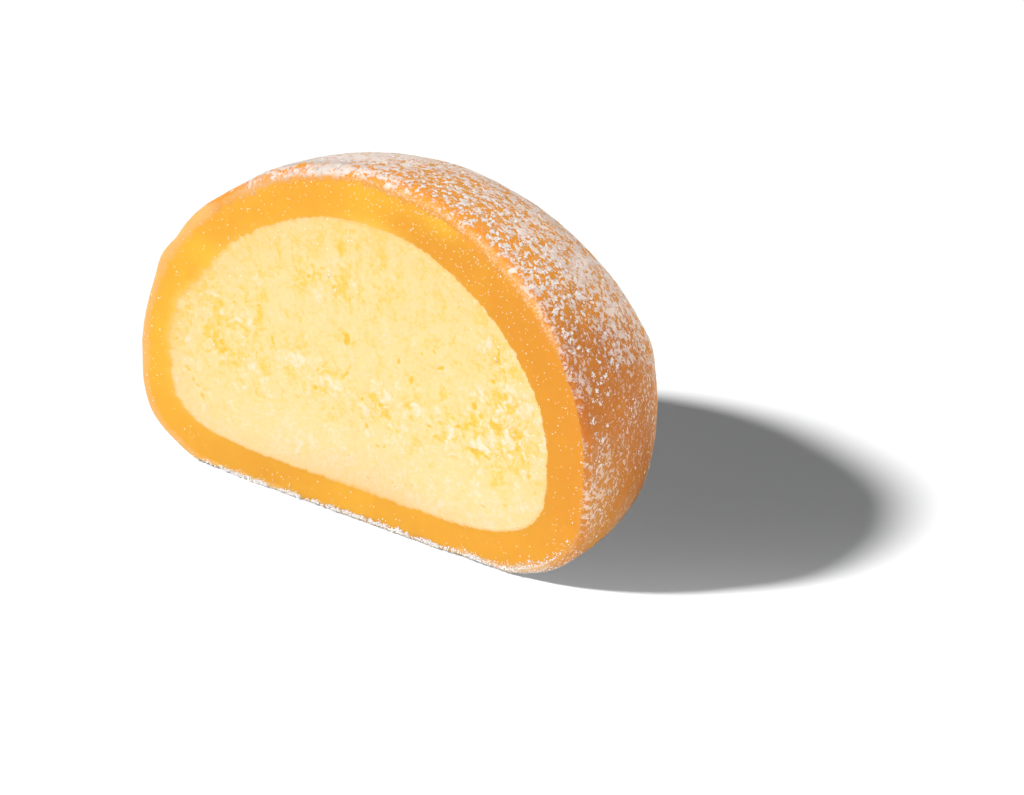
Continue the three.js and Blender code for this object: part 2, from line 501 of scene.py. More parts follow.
def powder_ends(around):
    """Where the powder begins behind the edge, its smear, its raggedness and the rim's reach."""
    degrees = degrees_round(around)
    values = np.tile(np.array(POWDER_END_ELSEWHERE), (len(degrees), 1))
    for first, last, *zone in POWDER_ENDS:
        share = between(degrees, first, last, POWDER_END_FADE)[:, None]
        values += share * (np.array(zone) - values)
    return values.T


def make_dough():
    around, ring, outer_faces, rim = disc_grid(SKIN_GRID)
    outer = skin_points(around, ring)
    rim_around = around[rim]
    rim_radius = np.hypot(outer[rim, 0], outer[rim, 2] - HEART_Z)
    inner_radius = filling_outline(rim_around) - OVERLAP
    rings = []
    for k in range(1, FACE_RINGS + 1):
        share = k / FACE_RINGS
        flat = cut_plane_points(rim_around, rim_radius + (inner_radius - rim_radius) * share, 0.0)
        wave = 0.05 * noise(flat, 3.5, 41) + 0.02 * noise(flat, 1.1, 42)
        flat[:, 1] = wave * smooth_step(share * 6) * smooth_step((1 - share) * 4)
        rings.append(flat)
    walls, tip = walls_behind(rim_around, POCKET_LEANS, POCKET_GAP)
    points, quads, fan = carried_on(outer, outer_faces[:, ::-1], rim, rings + walls, tip)
    inner_edge = len(outer) + (FACE_RINGS - 1) * len(rim) + np.arange(len(rim))

    x, z = points[:, 0], points[:, 2]
    direction = np.arctan2(z - HEART_Z, x)
    from_heart = np.hypot(x, z - HEART_Z)
    on_face = np.arange(len(points)) >= len(outer)
    from_edge = from_heart - np.interp(direction, rim_around, rim_radius, period=FULL_TURN)
    from_pocket = from_heart - np.interp(direction, rim_around, inner_radius, period=FULL_TURN)
    rise = np.clip(from_edge, 0, edge_rounding(direction)[0])
    begins, smeared, ragged, rim_reach = powder_ends(direction)
    shown = np.clip(bumps_round(direction, SHOWN_THROUGH), 0, 1)
    attributes = {
        "behind_edge": np.where(on_face, from_edge, np.hypot(points[:, 1], rise)),
        "powder_begins": begins,
        "smeared": smeared,
        "ragged": ragged,
        "rim_reach": rim_reach,
        "by_pocket": np.where(on_face, np.clip(1 - from_pocket / POCKET_FADE, 0, 1), 0),
        "shown_through": on_face * smooth_step(1 - from_pocket / SHOWN_REACH) * shown,
        # painted shade: the bare skin is painted darker on the right and lowest down, away from the key
        # light, and its powder film is thinner there
        "shaded": np.clip(0.95 * smooth_step((x - 12) / 7.5) + 0.6 * smooth_step((10 - z) / 9), 0, 1),
        "powder": powder_amount(points),
        # low on the right the powder lies in finer flakes
        "finer": smooth_step((17 - z) / 7) * smooth_step((x - 4) / 8),
        "lit_through": np.clip(with_places(0, points, LIT_PLACES), 0, 1),
        "hazy": np.clip(with_places(0, points, HAZY_PLACES), 0, 1),
        "yellow": patch_sum(x, z, YELLOW_PATCHES) * on_face,
        "deep": np.clip(DEPTH_ELSEWHERE + bumps_round(direction, DEPTH_ROUND), 0, 1),
    }
    return make_mesh("dough", points, quads, fan, attributes, sharp=inner_edge)


# ---- the filling

FILLING_GRID = 280    # steps across the disc that becomes the filling's cut face
BACK_LEANS = (0.02, 0.2, 0.5, 0.85, 1.2)

# How crumbly the cut filling is, by place: centre (x, z), radii and strength.
CRUMBLY_EVERYWHERE = 0.22
CRUMBLY = (
    ((-15, 11.5), (4.6, 4.2), 0.56), ((-3.8, 18.2), (2.6, 1.3), 0.65), ((3.5, 9.6), (8.5, 2), 0.55),
    ((12.6, 11.2), (3.4, 3.7), 0.84), ((12, 16.5), (1.6, 1.6), 0.5), ((-5.2, 11.2), (2.2, 2.4), 0.45),
)
CRUMB_SIZES = ((1, 0.055, 1), (0.46, 0.028, 0.95))   # size, height and tone of the crumbs
# Pits and slits: centre (x, z), half sizes, lean in degrees, depth.
PITS = (
    ((-2.3, 14.3), (0.28, 0.42), -10, 0.3), ((-2.7, 11.3), (0.16, 0.3), -35, 0.28),
    ((-2.1, 12.2), (0.14, 0.3), -20, 0.28), ((2.65, 13.9), (0.18, 0.2), 0, 0.4),
    ((3.85, 12.8), (0.17, 0.3), 0, 0.45), ((6.65, 14.5), (0.4, 0.13), 22, 0.35),
    ((4.9, 15.2), (0.14, 0.1), -30, 0.25), ((4.25, 15), (0.1, 0.08), 0, 0.22),
    ((6, 15.6), (0.12, 0.08), -40, 0.25), ((12.06, 16.9), (0.17, 0.62), 3, 0.3),
    ((11.5, 14.9), (0.26, 0.18), -25, 0.4), ((9.8, 12.5), (0.26, 0.26), 0, 0.45),
    ((1.45, 9.7), (0.2, 0.2), 0, 0.4), ((-0.5, 8), (0.17, 0.18), 0, 0.4),
    ((-0.85, 10), (0.15, 0.15), 0, 0.3), ((5.5, 9.65), (0.24, 0.1), 8, 0.35),
    ((8.2, 10.4), (0.36, 0.12), 18, 0.32), ((9.6, 10.97), (0.3, 0.14), 18, 0.32),
    ((9.9, 8.95), (0.85, 0.22), 4, 0.5), ((10.9, 8.8), (0.45, 0.1), -18, 0.4),
    ((0.53, 6.64), (0.14, 0.15), 0, 0.35), ((1.21, 6.78), (0.12, 0.17), -20, 0.35),
    ((-0.43, 3.9), (0.16, 0.07), -30, 0.25), ((1.92, 4.03), (0.09, 0.08), 0, 0.25),
    ((2.15, 3.85), (0.09, 0.07), 0, 0.22), ((2.45, 3.72), (0.09, 0.07), 0, 0.22),
    ((3.09, 4.33), (0.09, 0.07), 0, 0.25), ((3.76, 4.45), (0.16, 0.07), -35, 0.28),
    ((10.55, 4.77), (0.27, 0.12), -12, 0.42), ((14.8, 8.5), (0.22, 0.34), 0, 0.4),
    ((-5.97, 18.3), (0.16, 0.18), 0, 0.4), ((-4.64, 19.2), (0.18, 0.08), -25, 0.35),
    ((-13.5, 13.1), (0.11, 0.36), 8, 0.42), ((-13.45, 14.2), (0.1, 0.2), -10, 0.3),
    ((-9.6, 12.2), (0.13, 0.5), 14, 0.45), ((-11, 14.7), (0.14, 0.1), 0, 0.3),
    ((-17.9, 11.3), (0.1, 0.28), 0, 0.35), ((-11.3, 10.6), (0.1, 0.3), 0, 0.35),
    ((-18.3, 7.55), (0.32, 0.12), -28, 0.35), ((-17.75, 6.85), (0.14, 0.26), 10, 0.42),
    ((-17.35, 6.4), (0.2, 0.14), -30, 0.42), ((-16.9, 5.7), (0.18, 0.3), 12, 0.45),
    ((-19.4, 9.7), (0.14, 0.1), 0, 0.3), ((-5.5, 9.6), (0.18, 0.18), 0, 0.38),
    ((-5.2, 11.1), (0.16, 0.16), 0, 0.35), ((-2.4, 11.6), (0.26, 0.16), 40, 0.35),
    ((5.7, 5.6), (0.1, 0.07), 0, 0.22), ((-2.3, 5), (0.12, 0.07), -30, 0.22),
)
# Yellower smudges without relief: centre (x, z), radii, strength.
SMUDGES = (
    ((-10.9, 13.6), (0.5, 0.6), 0.6), ((-14.7, 13.9), (0.7, 0.5), 0.55), ((-3.2, 18), (0.6, 0.5), 0.5),
    ((-2.8, 21.3), (0.5, 0.6), 0.5), ((11.5, 7), (0.7, 0.5), 0.8), ((-2.3, 14.3), (0.6, 0.6), 0.6),
    ((-16.4, 14.7), (0.35, 0.4), 0.5), ((-7.9, 9.9), (0.5, 0.4), 0.45), ((-16.6, 6), (0.7, 0.8), 0.35),
    ((13.8, 12.2), (0.5, 0.6), 0.5), ((-6.7, 17.3), (0.8, 0.7), 0.35), ((9.9, 9), (1.1, 0.5), 0.7),
)
STREAK_ZONE = ((-1, 19.5), (8.5, 4.5))   # where the knife left long soft drag marks
# Painted light: where the filling beside the dough is painted peach for the dough's orange light scattered
# into it: degrees round the cut, spread, strength.
DOUGH_GLOW = ((-90, 55, 0.75), (270, 75, 0.75), (15, 30, -0.25))
DOUGH_GLOW_ELSEWHERE = 0.3
YELLOWED_BY_EDGE = 0.8


def filling_relief(around, radius, outline):
    """How far the cut filling stands out towards the knife, and its tone there.

    The tone is 0 for the plain cut, up to 1 on pale crumbs and down to -1 in yellow hollows. It is partly
    the filling's own colour, differing at random, and partly painted light: raised crumbs and lips are
    painted paler and pits a deeper yellow, for light scattered in the cream."""
    points = cut_plane_points(around, radius, 0.0)
    x, y, z = points.T
    crumbly = CRUMBLY_EVERYWHERE + patch_sum(x, z, CRUMBLY)
    crumbly = np.clip(crumbly * (1 + 0.9 * noise(points, 2.0, 51)), 0.05, 1.3)

    swirl = np.stack([layered_noise(points, 0.8, 2, 52), y, layered_noise(points, 0.8, 2, 53)], axis=1)
    warped = points + 0.45 * swirl
    height = np.zeros(len(x))
    tone = np.zeros(len(x))
    # partly painted light: the taller crumbs are painted paler, and each crumb's tone also differs at random
    for k, (size, rise, strength) in enumerate(CRUMB_SIZES):
        first, second, number = cell_noise(warped, size, 54 + 5 * k)
        dome = np.clip(1 - (first / 0.8) ** 2, 0, 1) * (0.3 + 0.7 * number)
        inside = smooth_step((second - first) / 0.28)
        height += rise * (dome - 0.35) * crumbly
        tone += strength * crumbly * (inside * (1.9 * number - 0.62) - 0.27)
    grain = layered_noise(points, 0.5, 3, 60, 0.65)
    height += (0.006 + 0.009 * crumbly) * grain
    tone += (0.18 + 0.18 * crumbly) * grain + 0.16 * crumbly
    height += 0.05 * noise(points, 3.0, 63)
    drawn_out = layered_noise(points * np.array([1.0, 1.0, 0.16]), 0.9, 2, 64)
    streaks = drawn_out * spot(x, z, *STREAK_ZONE)
    height += 0.015 * streaks
    tone += 0.45 * streaks
    tone += 0.22 * noise(points, 1.4, 66)

    # painted light: pits are painted deep yellow and the raised lips round them paler
    for centre, sizes, lean, depth in PITS:
        hole = spot(x + 0.12 * swirl[:, 0], z + 0.12 * swirl[:, 2], centre, sizes, lean, 2.0)
        wider = (sizes[0] + 0.16, sizes[1] + 0.16)
        lip = spot(x, z, centre, wider, lean, 2.0) * (1 - hole)
        height += 0.012 * lip - 0.11 * depth * hole
        tone += 0.2 * lip - 1.25 * hole
    tone -= 0.8 * patch_sum(x + 0.3 * swirl[:, 0], z + 0.3 * swirl[:, 2], SMUDGES)
    at_edge = smooth_step((outline - radius) / 0.4)
    return height * (0.3 + 0.7 * at_edge) + 0.02, np.clip(tone, -1, 1)


def zone_tone(x, z):
    """The filling is paler low down and yellower at the top and left."""
    low = smooth_step((10.0 - z) / 7.0)
    middle = 0.07 * smooth_step((z - 7.0) / 4.0)
    return 0.3 * low - middle - 0.17 * smooth_step((z - 15.0) / 6.0) - 0.08 * smooth_step((-x - 6.0) / 8.0)


def make_filling():
    around, ring, face_quads, rim = disc_grid(FILLING_GRID)
    outline = filling_outline(around)
    radius = outline * (1 - ring / (FILLING_GRID // 2))
    height, tone = filling_relief(around, radius, outline)
    face = cut_plane_points(around, radius, -height)
    walls, tip = walls_behind(around[rim], BACK_LEANS, 0.0)
    points, quads, fan = carried_on(face, face_quads[:, ::-1], rim, walls, tip)
    hidden = (0, len(points) - len(face))
    inside = outline - radius
    yellowed = YELLOWED_BY_EDGE * np.exp(-inside / 0.7) * bumps_round(around, SHOWN_THROUGH)
    dough_glow = np.exp(-inside / 1.6) * np.clip(DOUGH_GLOW_ELSEWHERE + bumps_round(around, DOUGH_GLOW), 0, 1)
    attributes = {
        "tone": np.pad(tone + zone_tone(face[:, 0], face[:, 2]) - yellowed, hidden),
        "dough_glow": np.pad(dough_glow, hidden, constant_values=1),
        "from_dough": np.pad(inside, hidden),
    }
    # The faces look the other way from the dough's, towards the knife.
    return make_mesh("cream_filling", points, quads[:, ::-1], fan[:, [1, 0, 2]], attributes, sharp=rim)


# ---- grains, clumps and crumbs

GOLDEN = (1 + 5 ** 0.5) / 2
TO_KNIFE = (0.0, -1.0, 0.0)
SUNK, CRUMB_SUNK = 0.25, 0.14   # how deep powder and crumbs sit, in sizes of a bit
LOWEST_POWDER = 0.15   # mm above the base
CLUMP_COUNT, GRAIN_COUNT = 5200, 20000
HEAP_COUNT, BITS_IN_HEAP, LIP_CRUMBS = 190, 7, 460
BASE_TRIES, CRUMB_TRIES = 4200, 9000   # places tried; more stay where more has gathered
BASE_POWDER_REACH = (-19, 15.5)      # mm along the cut, thinning out at both ends
# Where specks lie on the cut dough: degrees round the cut, spread, how many, and whether they
# gather towards the outside (1) or lie evenly (0).
SPECK_BANDS = (
    (100, 16, 55, 0.8), (68, 14, 140, 0.6), (42, 14, 75, 0.3), (12, 18, 90, 0.2), (-24, 18, 55, 0.3),
    (125, 18, 45, 0.3), (150, 20, 45, 0), (190, 30, 80, 0.6), (-95, 30, 32, 0.6),
)
SPECKS_ON_FILLING = ((110, 30, 26), (20, 24, 44), (165, 18, 12))
# Crumbs on the filling that stand out by name: centre (x, z) and radius.
NAMED_CRUMBS = (
    ((11.75, 16.6), 0.17), ((3.8, 13.2), 0.09), ((3.8, 12.2), 0.09), ((-4, 18.9), 0.13),
    ((-3.4, 17.9), 0.14), ((-3.9, 17.5), 0.12), ((12.9, 11.6), 0.16), ((13.3, 11.2), 0.14),
    ((-15.6, 10.2), 0.15), ((-12.6, 9.9), 0.13), ((-11.4, 9.9), 0.15), ((-9.2, 10.2), 0.11),
)


def solid_of(corners):
    """A regular solid of triangles from its corners, scaled to radius 1."""
    corners = np.array(corners, dtype=float)
    edge = np.sort(np.linalg.norm(corners - corners[0], axis=1))[1]
    faces = []
    for trio in itertools.combinations(range(len(corners)), 3):
        sides = [np.linalg.norm(corners[p] - corners[q]) for p, q in itertools.combinations(trio, 2)]
        if max(sides) < edge * 1.01:
            p, q, r = corners[list(trio)]
            outward = np.dot(np.cross(q - p, r - p), p) > 0
            faces.append(trio if outward else trio[::-1])
    return corners / np.linalg.norm(corners[0]), np.array(faces)


OCTAHEDRON = solid_of([sign * axis for axis in np.eye(3) for sign in (1, -1)])
ICOSAHEDRON = solid_of([corner for a, b in itertools.product((-1, 1), (-GOLDEN, GOLDEN))
                        for corner in ((0, a, b), (a, b, 0), (b, 0, a))])


def make_bits(name, shape, groups, rng, flatness=(0.35, 0.8), rough=0.28, smooth=False):
    """One mesh of many irregular bits, from groups of places, normals and sizes.

    Each bit is flattened along its normal and set on it."""
    places, normals, sizes = (np.concatenate(parts) for parts in zip(*groups))
    corners, triangles = shape
    count, corner_count = len(places), len(corners)
    helper = np.where(np.abs(normals[:, 2:3]) < 0.9, [[0.0, 0.0, 1.0]], [[1.0, 0.0, 0.0]])
    first = np.cross(normals, helper)
    first /= np.linalg.norm(first, axis=1)[:, None]
    second = np.cross(normals, first)
    turn = rng.uniform(0, FULL_TURN, count)[:, None]
    axis_a = first * np.cos(turn) + second * np.sin(turn)
    axis_b = np.cross(normals, axis_a)
    long_side = sizes * rng.uniform(0.85, 1.5, count)
    short_side = sizes * rng.uniform(0.6, 1.0, count)
    thick = sizes * rng.uniform(*flatness, count)
    local = corners[None] * (1 + rough * rng.uniform(-1, 1, (count, corner_count, 1)))
    local = local + rough * 0.5 * rng.uniform(-1, 1, (count, corner_count, 3))
    points = places[:, None]
    for k, (size, axis) in enumerate(((long_side, axis_a), (short_side, axis_b), (thick, normals))):
        points = points + local[:, :, k:k + 1] * size[:, None, None] * axis[:, None]
    points = points.reshape(-1, 3)
    points[:, 2] = np.maximum(points[:, 2], 0.005)
    faces = (triangles[None] + (np.arange(count) * corner_count)[:, None, None]).reshape(-1, 3)
    shade = np.repeat(rng.uniform(0, 1, count), corner_count)
    return make_mesh(name, points, (), faces, {"shade": shade}, smooth)


def all_facing(direction, places):
    return np.tile(direction, (len(places), 1))


def outside_faces(dough):
    """Corners, outward normals and shares of the area of the faces of the dough's outside."""
    mesh = dough.data
    count = SKIN_GRID * SKIN_GRID
    corners = read_all(mesh.vertices, "co", 3) / MM - SHIFT
    numbers = read_all(mesh.loops, "vertex_index", 1, np.int32)[:count * 4].reshape(-1, 4)
    areas = read_all(mesh.polygons, "area", 1)[:count, 0]
    return corners[numbers], read_all(mesh.polygons, "normal", 3)[:count], areas / areas.sum()


def strewn_on_skin(outside, rng, count, power, size):
    """Bits on the skin, more of them where more powder lies; size draws their sizes."""
    corners, face_normals, shares = outside
    places, normals = [], []
    found = 0
    while found < count:
        chosen = rng.choice(len(shares), count * 2, p=shares)
        s, t = rng.uniform(0, 1, (2, count * 2, 1))
        a, b, c, d = corners[chosen].swapaxes(0, 1)
        some = (a * (1 - s) + b * s) * (1 - t) + (d * (1 - s) + c * s) * t
        amount = powder_amount(some)
        clustered = smooth_step(0.5 + 1.1 * noise(some, 0.8, 71))
        film_whole = smooth_step((amount - 0.62) / 0.18)
        keep = rng.uniform(0, 1, len(some)) < amount ** power * clustered * (1 - 0.75 * film_whole)
        begins, _, ragged, _ = powder_ends(np.arctan2(some[:, 2] - HEART_Z, some[:, 0]))
        keep &= some[:, 1] > begins + ragged * noise(some, 0.7, 74)
        keep &= some[:, 2] > LOWEST_POWDER
        places.append(some[keep])
        normals.append(face_normals[chosen][keep])
        found += int(keep.sum())
    places, normals = np.concatenate(places)[:count], np.concatenate(normals)[:count]
    sizes = size(count)
    return places - normals * (SUNK * sizes)[:, None], normals, sizes


def near_cut_edge(around, lean):
    """Points on the skin near the cut's rounded edge, with their outward normals."""
    points, along = rounded_skin(around, lean)
    normals = np.stack([np.cos(around), np.sin(lean) - along, np.sin(around)], axis=1)
    normals /= np.linalg.norm(normals, axis=1)[:, None]
    return points + normals * skin_relief(points)[:, None], normals


def heaps_by_edge(rng, count):
    """Bits of the larger heaps of powder, gathered behind the cut's upper right edge."""
    around = rng.normal(math.radians(50.0), math.radians(20.0), count)
    lean = np.abs(rng.normal(0.0, 0.16, count)) + 0.04
    places, normals = (np.repeat(rows, BITS_IN_HEAP, axis=0) for rows in near_cut_edge(around, lean))
    spread = np.repeat(rng.uniform(0.05, 0.16, count), BITS_IN_HEAP)[:, None]
    apart = rng.normal(0, 1, places.shape)
    apart -= normals * (apart * normals).sum(axis=1)[:, None]
    mound = np.clip(1 - (np.linalg.norm(apart, axis=1)[:, None] / 1.6) ** 2, 0, 1)
    places = places + spread * (apart + 0.6 * mound * normals)
    return places, normals, rng.uniform(0.05, 0.12, len(places))


def crumbs_on_lip(rng, count):
    """Fine crumbs on the soft lip low on the right and on the cut beside it."""
    around = rng.normal(math.radians(-33.0), math.radians(7.0), count)
    lean = np.abs(rng.normal(0.0, 0.03, count)) + 0.002
    places, normals = near_cut_edge(around, lean)
    inwards = cut_rim(around) - rng.exponential(0.22, count)
    on_face = rng.uniform(0, 1, (count, 1)) < 0.5
    places = np.where(on_face, cut_plane_points(around, inwards, -0.02), places)
    normals = np.where(on_face, TO_KNIFE, normals)
    keep = places[:, 2] > 0.1
    return places[keep], normals[keep], 0.025 + 0.05 * rng.beta(1.2, 3.0, int(keep.sum()))


def make_powder_clumps(outside):
    rng = np.random.default_rng(21)
    strewn = strewn_on_skin(outside, rng, CLUMP_COUNT, 1.2, lambda n: 0.05 + 0.1 * rng.beta(1.5, 4.0, n))
    return make_bits("powder_clumps", ICOSAHEDRON, (strewn, heaps_by_edge(rng, HEAP_COUNT)), rng, rough=0.38)


def make_powder_grains(outside):
    rng = np.random.default_rng(22)
    strewn = strewn_on_skin(outside, rng, GRAIN_COUNT, 1.0, lambda n: rng.uniform(0.03, 0.06, n))
    return make_bits("powder_grains", OCTAHEDRON, (strewn,), rng)


def make_base_powder():
    """Crumbs of powder caught along the foot of the cut, where the cake stands."""
    rng = np.random.default_rng(23)
    first, last = BASE_POWDER_REACH
    x = rng.uniform(first, last, BASE_TRIES)
    around = np.arctan2(-HEART_Z, x)
    rim_x, _, rim_z = cut_plane_points(around, cut_rim(around), 0.0).T
    line = np.stack([rim_x, 0 * x, 0 * x], axis=1)
    gathered = smooth_step(0.5 + 1.2 * noise(line, 1.5, 72) + 0.8 * noise(line, 0.45, 75))
    thinning = smooth_step((x - first) / 7.0) * smooth_step((last - x) / 9.0)
    keep = rng.uniform(0, 1, len(x)) < (0.12 + 0.88 * gathered) * (0.05 + 0.95 * thinning)
    rim_x, rim_z, gathered = rim_x[keep], rim_z[keep], gathered[keep]
    up = rng.normal(-0.06, 0.08, len(rim_x)) + rng.exponential(0.07, len(rim_x)) * gathered
    forward = np.abs(rng.normal(0, 0.05, len(rim_x)))
    places = np.stack([rim_x, -forward, np.maximum(rim_z + up, 0.03)], axis=1)
    sizes = 0.025 + 0.07 * rng.beta(1.3, 4.0, len(places))
    by_foot = places, all_facing((0.0, -0.8, 0.6), places), sizes
    return make_bits("base_powder", ICOSAHEDRON, (by_foot, crumbs_on_lip(rng, LIP_CRUMBS)), rng, rough=0.38)


def make_dough_specks():
    rng = np.random.default_rng(24)
    places = []
    for middle, spread, count, outward in SPECK_BANDS:
        around = np.radians(rng.normal(middle, spread, count))
        inner = filling_outline(around)
        share = rng.uniform(0, 1, count) ** (1 / (1 + 1.5 * outward))
        places.append(cut_plane_points(around, inner + (cut_rim(around) - inner) * share, -0.01))
    for middle, spread, count in SPECKS_ON_FILLING:
        around = np.radians(rng.normal(middle, spread, count))
        radius = filling_outline(around) - 0.1 - rng.exponential(1.2, count)
        places.append(cut_plane_points(around, radius, -0.05))
    places = np.concatenate(places)
    places = places[places[:, 2] > 0.2]
    sizes = 0.026 + 0.044 * rng.beta(1.1, 3.2, len(places))
    specks = places, all_facing(TO_KNIFE, places), sizes
    return make_bits("dough_specks", OCTAHEDRON, (specks,), rng, (0.4, 1.0))


def make_filling_crumbs():
    rng = np.random.default_rng(25)
    around = rng.uniform(0, FULL_TURN, CRUMB_TRIES)
    radius = filling_outline(around) * np.sqrt(rng.uniform(0, 0.985, CRUMB_TRIES))
    points = cut_plane_points(around, radius, 0.0)
    rough = 0.05 + 0.35 * patch_sum(points[:, 0], points[:, 2], CRUMBLY)
    rough *= smooth_step(0.5 + 1.5 * noise(points, 1.1, 73))
    keep = rng.uniform(0, 1, CRUMB_TRIES) < rough
    sizes = 0.03 + 0.09 * rng.beta(1.2, 4.0, int(keep.sum()))
    named_x, named_z = np.array([centre for centre, _ in NAMED_CRUMBS]).T
    around = np.concatenate([around[keep], np.arctan2(named_z - HEART_Z, named_x)])
    radius = np.concatenate([radius[keep], np.hypot(named_x, named_z - HEART_Z)])
    sizes = np.concatenate([sizes, [size for _, size in NAMED_CRUMBS]])
    height, _ = filling_relief(around, radius, filling_outline(around))
    places = cut_plane_points(around, radius, CRUMB_SUNK * sizes - height)
    crumbs = places, all_facing(TO_KNIFE, places), sizes
    return make_bits("filling_crumbs", ICOSAHEDRON, (crumbs,), rng, (0.2, 0.45), smooth=True)


# ---- materials

class Output:
    """What a node gives: a number, a vector or a colour. Arithmetic on a number adds nodes."""

    def __init__(self, look, socket):
        self.look = look
        self.socket = socket

    def combined(self, operation, first, second):
        return self.look.add("ShaderNodeMath", 0, {0: first, 1: second}, operation=operation)

    def __add__(self, other):
        return self.combined("ADD", self, other)

    def __sub__(self, other):
        return self.combined("SUBTRACT", self, other)

    def __rsub__(self, other):
        return self.combined("SUBTRACT", other, self)

    def __mul__(self, other):
        return self.combined("MULTIPLY", self, other)

    def __truediv__(self, other):
        return self.combined("DIVIDE", self, other)


class Look:
    """A material and short ways to add nodes to it. Sizes are in millimetres."""

    def __init__(self, name):
        self.material = bpy.data.materials.new(name)
        self.material.use_nodes = True
        self.tree = self.material.node_tree
        coordinates = self.add("ShaderNodeTexCoord", "Object", {})
        self.place = self.vector("MULTIPLY", coordinates, (1 / MM,) * 3)

    def fill_in(self, node, inputs):
        for key, value in inputs.items():
            if isinstance(value, Output):
                self.tree.links.new(value.socket, node.inputs[key])
            else:
                node.inputs[key].default_value = value

    def add(self, kind, output, inputs, **settings):
        """A new node's output."""
        node = self.tree.nodes.new(kind)
        for key, value in settings.items():
            setattr(node, key, value)
        self.fill_in(node, inputs)
        return Output(self, node.outputs[output])

    def vector(self, operation, *parts):
        return self.add("ShaderNodeVectorMath", "Vector", dict(enumerate(parts)), operation=operation)

    def attribute(self, name):
        return self.add("ShaderNodeAttribute", "Fac", {}, attribute_name=name)

    def noise(self, size, detail=3.0, roughness=0.55, output="Fac"):
        inputs = {"Vector": self.place, "Scale": 1.0 / size, "Detail": detail, "Roughness": roughness}
        return self.add("ShaderNodeTexNoise", output, inputs)

    def swing(self, size, detail=3.0, roughness=0.55):
        """Noise that lies evenly round 0."""
        return self.noise(size, detail, roughness) - 0.5

    def cells(self, size, place):
        """Each cell's own number, and the distance from its middle."""
        inputs = {"Vector": place, "Scale": 1.0 / size, "Randomness": 1.0}
        colour = self.add("ShaderNodeTexVoronoi", "Color", inputs)
        number = self.add("ShaderNodeSeparateColor", "Red", {"Color": colour})
        return number, Output(self, colour.socket.node.outputs["Distance"])

    def ramp(self, value, low, high):
        """0 at low, 1 at high, smooth between."""
        inputs = {"Value": value, "From Min": low, "From Max": high}
        return self.add("ShaderNodeMapRange", "Result", inputs, interpolation_type="SMOOTHSTEP")

    def mix(self, share, first, second):
        inputs = {"Factor": share, "A": first, "B": second}
        return self.add("ShaderNodeMix", "Result", inputs, data_type="RGBA")

    def bump(self, height, distance):
        inputs = {"Height": height, "Distance": distance * MM, "Strength": 1.0}
        return self.add("ShaderNodeBump", "Normal", inputs)

    def finish(self, colour, roughness, specular, see_through=None, normal=None):
        """see_through is how much, its share for each colour, and how far."""
        inputs = {"Base Color": colour, "Roughness": roughness, "Specular IOR Level": specular}
        if see_through:
            weight, shares, reach = see_through
            inputs |= {"Subsurface Weight": weight, "Subsurface Radius": shares,
                       "Subsurface Scale": reach * MM}
        if normal:
            inputs["Normal"] = normal
        self.fill_in(self.tree.nodes["Principled BSDF"], inputs)
        return self.material


# Reflectances, red, green and blue, from 0 to 1.
DOUGH_CUT = (0.81, 0.445, 0.039, 1)
DOUGH_CUT_DEEP = (0.65, 0.268, 0.024, 1)
DOUGH_CUT_YELLOW = (0.78, 0.45, 0.036, 1)
DOUGH_BY_FILLING = (0.78, 0.49, 0.11, 1)
DOUGH_RIM = (0.74, 0.385, 0.115, 1)
DOUGH_BEND = (0.6, 0.262, 0.036, 1)
# SKIN_LIT is the bare skin in painted light beside the cut
SKIN_LIT = (0.6, 0.26, 0.04, 1)
SKIN_BARE = (0.74, 0.275, 0.028, 1)
# SKIN_BARE_DARK is the bare skin in painted shade on the right and low down, and its darker mottling
SKIN_BARE_DARK = (0.41, 0.125, 0.014, 1)
POWDER_FILM = (0.8, 0.73, 0.69, 1)
POWDER_CREAM = (0.74, 0.68, 0.585, 1)
# POWDER_RIDGE_SHADE is powder in painted shade, for the ridge where the key light falls strongest
POWDER_RIDGE_SHADE = (0.605, 0.56, 0.535, 1)
POWDER_HAZE = (0.64, 0.46, 0.31, 1)
POWDER_SMEAR = (0.62, 0.46, 0.3, 1)
POWDER_WHITE = (0.73, 0.655, 0.6, 1)
POWDER_DULL = (0.66, 0.58, 0.52, 1)
BASE_POWDER_WHITE = (0.92, 0.9, 0.88, 1)
SPECK_WHITE = (0.9, 0.97, 0.92, 1)
SPECK_YELLOW = (0.92, 0.95, 0.8, 1)
FILLING_PLAIN = (0.75, 0.588, 0.275, 1)
FILLING_PALE = (0.77, 0.665, 0.5, 1)
# FILLING_DEEP and FILLING_DEEPEST are the filling's own deeper yellows, and painted light in its pits and
# hollows
FILLING_DEEP = (0.77, 0.52, 0.105, 1)
FILLING_DEEPEST = (0.75, 0.45, 0.045, 1)
# FILLING_BY_DOUGH is painted light on the filling beside the dough, and the filling's own fibres on the
# dough's cut face
FILLING_BY_DOUGH = (0.75, 0.475, 0.215, 1)
FILLING_EDGE = (0.75, 0.42, 0.12, 1)
FLOOR_WHITE, FLOOR_WHITER = (0.9, 0.9, 0.9, 1), (0.92, 0.92, 0.92, 1)


